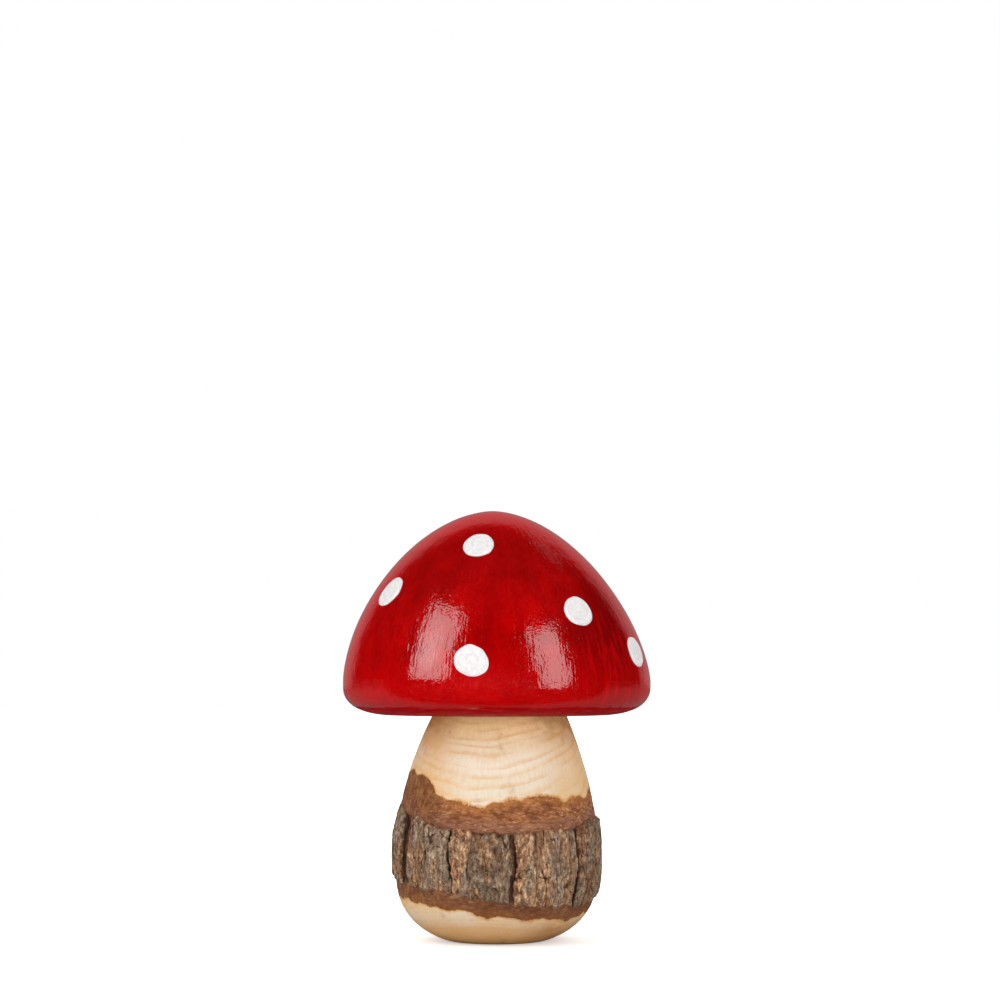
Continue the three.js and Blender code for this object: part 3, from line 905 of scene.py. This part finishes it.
def outer_bark():
    """Weathered bark: a grey crust over tan layers over red-brown ones, dark in its cracks, with painted
    highlights on its crests and painted shade in its hollows and down the walls of its scales.
    """
    finish = Finish("outer_bark")
    relief = finish.attribute("relief")
    crumble = finish.noise((1.05, 1.05, 2.2), detail=8, roughness=0.68, shift=41)
    grey, tan, red_brown = (finish.ramp(crumble, BARK_PLACES, shades) for shades in BARK_SHADES)
    crust = finish.attribute("crust")
    base = finish.blend(finish.attribute("under_crust"), red_brown, tan)
    base = finish.blend(crust, base, grey)
    clouds = finish.climb(finish.noise((3.6, 3.6, 9), shift=44), 0.42, 0.62)
    base = finish.tint(base, clouds, 0.45, (114, 84, 66))
    bloom = finish.climb(finish.noise((3.2, 3.2, 3.6), detail=5, roughness=0.65, shift=47), 0.52, 0.66)
    bloom = finish.times(bloom, crust)
    base = finish.tint(base, bloom, 0.55, (114, 108, 84))
    rust = finish.climb(finish.noise((2.8, 2.8, 3.8), detail=6, roughness=0.7, shift=49), 0.55, 0.68)
    base = finish.tint(base, rust, 0.25, (150, 98, 64))
    flecks = finish.climb(finish.noise((0.6, 0.6, 0.8), detail=4, roughness=0.7, shift=50), 0.58, 0.66)
    base = finish.tint(base, flecks, 0.6, (232, 206, 172))
    gaps = finish.climb(finish.noise((0.55, 0.55, 0.9), roughness=0.6, shift=53), 0.4, 0.3)
    base = finish.tint(base, gaps, 0.65, (62, 42, 32))
    # Painted highlight: the crests of the relief are lightened
    crests = finish.climb(relief, 0.12, 0.5)
    base = finish.tint(base, crests, 0.3, (200, 170, 138))
    # Painted shade: darkened in the hollows and down the walls of the scales, where the fissures lie in
    # shade
    hollows = finish.climb(relief, -0.15, -0.8)
    base = finish.tint(base, hollows, 0.85, (56, 36, 26))
    ends = finish.climb(finish.attribute("from_end"), 0.8, 0.0)
    base = finish.tint(base, ends, 0.6, (132, 84, 54))
    base = finish.blend(finish.attribute("shade"), base, (0.66, 0.64, 0.62, 1), kind="MULTIPLY")
    finish.drive("Base Color", base)
    finish.drive("Roughness", finish.climb(crumble, 0.3, 0.7, 0.95, 0.8))
    rough = finish.noise((0.4, 0.4, 0.5), detail=6, roughness=0.7, shift=56)
    depth = finish.minus(finish.plus(rough, crumble), finish.times(gaps, 0.5))
    finish.drive("Normal", finish.bump(depth, 0.4, 0.9))
    finish.set(Specular_IOR_Level=0.2)
    return finish.material


def red_lacquer(name, specular, dullness=0):
    """Brushed red lacquer: cloudy and a little streaked up the dome, with the peel of thick gloss; painted
    shade on the crown and right side, painted light on the flanks and low on the dome, and painted
    reflection streaks on the lowest rim.
    """
    finish = Finish(name)
    place = finish.place()
    flat = finish.vector("MULTIPLY", place, (1, 1, 0))
    outward = finish.vector("NORMALIZE", flat)
    ring = finish.vector("MULTIPLY", outward, (50 * MM, 50 * MM, 0))
    upright = finish.vector("MULTIPLY", place, (0, 0, 1))
    brushed = finish.vector("ADD", ring, upright)
    strokes = finish.noise((1.3, 1.3, 11), detail=4, roughness=0.6, shift=61, where=brushed)
    bands = finish.noise((8, 8, 26), shift=64, where=brushed)
    clouds = finish.noise((9, 9, 11), detail=6, roughness=0.62, shift=67)
    tone = finish.plus(finish.times(strokes, 0.16), finish.times(bands, 0.2))
    tone = finish.plus(tone, finish.times(clouds, 0.64))
    base = finish.ramp(tone, LACQUER_PLACES, LACQUER_SHADES)
    parts = finish.node("SeparateXYZ", place).outputs
    # Painted shade: darker toward the crown and on the right side
    crown = finish.climb(parts["Z"], 96 * MM, 128 * MM, 0, 0.5)
    painted_shade_crown_and_right = finish.math("MAXIMUM", crown, finish.climb(parts["X"], 12 * MM, 38 * MM))
    base = finish.blend(painted_shade_crown_and_right, base, colour(118, 0, 1))
    streaks = finish.times(painted_shade_crown_and_right, finish.climb(strokes, 0.49, 0.6))
    streaks = finish.times(streaks, finish.climb(parts["Z"], 110 * MM, 98 * MM))
    base = finish.blend(streaks, base, colour(168, 1, 3))
    # Painted light: brighter along the left and right flanks of the cap
    painted_light_on_flanks = finish.climb(parts["Y"], -25 * MM, -9 * MM, 0, 0.75)
    painted_light_on_flanks = finish.times(painted_light_on_flanks, finish.climb(parts["Y"], 10 * MM, 26 * MM, 1, 0))
    base = finish.blend(painted_light_on_flanks, base, colour(212, 3, 8))
    # Painted light: brighter low on the dome, where more light comes from the front and below
    thin = finish.climb(parts["Z"], 98 * MM, 82 * MM, 0, 0.45)
    base = finish.blend(thin, base, colour(188, 2, 5))
    edge = finish.climb(parts["Z"], (UNDERSIDE + 5) * MM, (UNDERSIDE + 1.5) * MM, 0, 0.8)
    # Painted reflection: thin pale pink streaks along the lowest rim, standing in for the floor seen in the
    # gloss
    painted_reflection_streaks = finish.climb(finish.noise((7, 7, 0.45), shift=73), 0.5, 0.68, 0, 0.7)
    base = finish.blend(edge, base, colour(136, 2, 10))
    base = finish.blend(finish.times(edge, painted_reflection_streaks), base, colour(192, 40, 52))
    finish.drive("Base Color", base)
    dust = finish.noise((0.6, 0.6, 0.6), detail=1, shift=69)
    finish.drive("Roughness", finish.climb(dust, 0.42, 0.72, 0.06 + dullness, 0.2 + dullness))
    from_axis = finish.measure("LENGTH", flat)
    marks = finish.noise((0.9, 0.9, 5.5), detail=1, shift=72, where=brushed)
    marks = finish.times(marks, finish.climb(from_axis, 2 * MM, 14 * MM))
    peel = finish.noise((0.6, 0.6, 0.6), detail=0, shift=70)
    dents = finish.noise((3.2, 3.2, 4.4), detail=1, shift=71)
    waves = finish.bump(bands, 0.25, 0.5)
    waves = finish.bump(dents, 0.16, 0.8, waves)
    waves = finish.bump(marks, 0.07, 0.8, waves)
    finish.drive("Normal", finish.bump(peel, 0.042, 0.9, waves))
    finish.set(Specular_IOR_Level=specular)
    return finish.material


def white_paint():
    """Thick white paint, a little grey where it is thin at the edge, with painted shade greying the troughs
    of the brush swirl.
    """
    finish = Finish("white_paint")
    thickness = finish.attribute("thickness")
    smears = finish.noise((0.9, 0.9, 0.9), detail=4, roughness=0.6, shift=81)
    base = finish.blend(finish.climb(smears, 0.35, 0.65), colour(218, 215, 215), colour(230, 228, 226))
    # Painted shade: greyer in the troughs of the brush swirl
    painted_shade_in_troughs = finish.climb(finish.attribute("stroke"), 0.0, -1.5, 0, 0.5)
    base = finish.blend(painted_shade_in_troughs, base, colour(208, 202, 203))
    thin = finish.climb(thickness, 0.3, 0.08)
    base = finish.tint(base, thin, 0.55, (214, 168, 166))
    finish.drive("Base Color", base)
    finish.drive("Roughness", finish.climb(smears, 0.3, 0.7, 0.42, 0.6))
    finish.drive("Normal", finish.bump(smears, 0.05, 0.3))
    finish.set(Specular_IOR_Level=0.4)
    return finish.material


def dowel_wood():
    """Pale wood with fine upright fibres."""
    finish = Finish("dowel_wood")
    fibres = finish.noise((0.6, 0.6, 9), detail=4, shift=91)
    finish.drive("Base Color", finish.blend(fibres, colour(206, 166, 118), colour(226, 194, 150)))
    finish.drive("Roughness", finish.climb(fibres, 0.3, 0.7, 0.6, 0.75))
    finish.drive("Normal", finish.bump(fibres, 0.08, 0.5))
    return finish.material


# Studio, with distances in metres

CAMERA_DISTANCE = 0.9
CAMERA_HEIGHT = 0.0858
CAMERA_SIDE = 0.00107
CAMERA_PITCH = 3.636
CAMERA_LENS = 99.1
CAMERA_SENSOR = 36
LAMP_DISTANCE = 0.9
LAMP_AIM_HEIGHT = 0.09
AMBIENT_FRONT = 0.2
AMBIENT_BACK = 1.05
BACKDROP_GLOSS = 0.25
BACKDROP_REACH = (0.92, 1.5)
ROOM_GLOSS = 0.001
FLOOR_GLOSS = 0.16
FLOOR_GLOSS_START = (-0.05, -0.025)
FLOOR_FADE = (0.015, 0.12)
FLOOR_SIZE = 12
FLOOR_GLOW = 0.45
FLOOR_PALENESS = 0.82

# Lamps, each as (name, angle, angle above level, width, height, radiance, whether gloss shows it)
LAMPS = (
    ("left_softbox", -51, 28, 0.42, 0.76, 3.2, True),
    ("right_softbox", 44, 20, 0.34, 0.76, 3.2, True),
    ("left_hot_spot", -54, 27, 0.14, 0.34, 1.6, True),
    ("back_strip", 138, 53, 0.3, 0.05, 0.6, True),
    ("front_fill", 0, 3, 1.4, 0.3, 2.2, False),
)


def aim_camera():
    """Camera where the photograph was taken from."""
    bpy.ops.object.camera_add(
        location=(CAMERA_SIDE, -CAMERA_DISTANCE, CAMERA_HEIGHT),
        rotation=(math.radians(90 + CAMERA_PITCH), 0, 0),
    )
    camera = bpy.context.object
    camera.data.lens = CAMERA_LENS
    camera.data.sensor_width = CAMERA_SENSOR
    bpy.context.scene.camera = camera


def hang_lamp(name, azimuth, elevation, width, height, radiance, in_gloss):
    """Rectangular lamp at an angle round the object, facing the middle of the cap."""
    side, level = math.radians(azimuth), math.radians(elevation)
    reach = LAMP_DISTANCE * math.cos(level)
    rise = LAMP_AIM_HEIGHT + LAMP_DISTANCE * math.sin(level)
    bpy.ops.object.light_add(
        type="AREA",
        location=(reach * math.sin(side), -reach * math.cos(side), rise),
        rotation=(math.radians(90) - level, 0, side),
    )
    lamp = bpy.context.object
    lamp.name = name
    lamp.data.shape = "RECTANGLE"
    lamp.data.size = width
    lamp.data.size_y = height
    lamp.data.energy = radiance * math.pi * width * height
    lamp.visible_camera = False
    lamp.visible_glossy = in_gloss


def light_room():
    """White to the camera; soft all round; in gloss, a pale backdrop behind and a dim room in front."""
    world = bpy.data.worlds.new("studio")
    bpy.context.scene.world = world
    world.use_nodes = True
    room = Nodes(world.node_tree)
    path = room.node("LightPath").outputs
    direction = room.node("TexCoord").outputs["Generated"]
    parts = room.node("SeparateXYZ", direction).outputs
    side_reach, top_reach = BACKDROP_REACH
    oval = room.vector("MULTIPLY", direction, (1 / side_reach, 0, 1 / top_reach))
    off_centre = room.measure("LENGTH", oval)
    inside = room.minus(parts["Y"], off_centre)
    gloss = room.climb(inside, 0, 0.05, ROOM_GLOSS, BACKDROP_GLOSS)
    back_or_above = room.plus(parts["Y"], parts["Z"])
    soft = room.climb(back_or_above, 0.1, 0.8, AMBIENT_FRONT, AMBIENT_BACK)
    sharp = room.math("MAXIMUM", path["Is Glossy Ray"], path["Is Transmission Ray"])
    shade = room.blend(path["Is Camera Ray"], room.blend(sharp, soft, gloss), (1, 1, 1, 1))
    room.feed(room.tree.nodes["Background"].inputs["Color"], shade)


def lay_floor():
    """Pale floor that takes the object's shadow and is white to the camera further out."""
    bpy.ops.mesh.primitive_plane_add(size=FLOOR_SIZE, location=(0, 0, 0))
    floor = bpy.context.object
    floor.name = "floor"
    finish = Finish("pale_floor")
    path = finish.node("LightPath").outputs
    away = finish.measure("LENGTH", finish.place())
    glow = finish.climb(away, *FLOOR_FADE, FLOOR_GLOW, 1.0)
    finish.drive("Emission Strength", finish.times(path["Is Camera Ray"], glow))
    front_to_back = finish.node("SeparateXYZ", finish.place()).outputs["Y"]
    dim = finish.climb(front_to_back, *FLOOR_GLOSS_START, 0.0, FLOOR_GLOSS)
    shade = finish.times(path["Is Glossy Ray"], finish.minus(dim, FLOOR_PALENESS))
    finish.drive("Base Color", finish.plus(shade, FLOOR_PALENESS))
    finish.set(Roughness=0.9, Specular_IOR_Level=0.0, Emission_Color=(1, 1, 1, 1))
    floor.data.materials.append(finish.material)


def main():
    """Makes every piece with its finish, then the studio round them."""
    stem_wood = wood_and_bark("turned_wood")
    bark_face = wood_and_bark("inner_bark")
    bark = outer_bark()
    paint = white_paint()
    finish_piece(make_stem(), stem_wood, "turned_wood", "stem")
    finish_piece(make_inner_bark(), bark_face, "inner_bark", "bark_inner")
    for index in range(len(FISSURE_ANGLES) - 1):
        finish_piece(make_scale(index), bark, "outer_bark", f"bark_plate_{index + 1:02d}")
    cap = make_cap()
    finish_piece(cap, red_lacquer("red_lacquer", 0.75), "red_lacquer", "cap")
    dull_underside(cap, red_lacquer("red_undercoat", 0.006, 0.25))
    for index in range(len(SPOTS)):
        finish_piece(make_spot(index), paint, "white_paint", f"paint_spot_{index + 1:02d}")
    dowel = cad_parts["dowel_pin"]
    dowel.data.materials.clear()
    dowel.data.materials.append(dowel_wood())

    aim_camera()
    for lamp in LAMPS:
        hang_lamp(*lamp)
    light_room()
    lay_floor()
    bpy.context.scene.view_settings.view_transform = "Standard"


main()
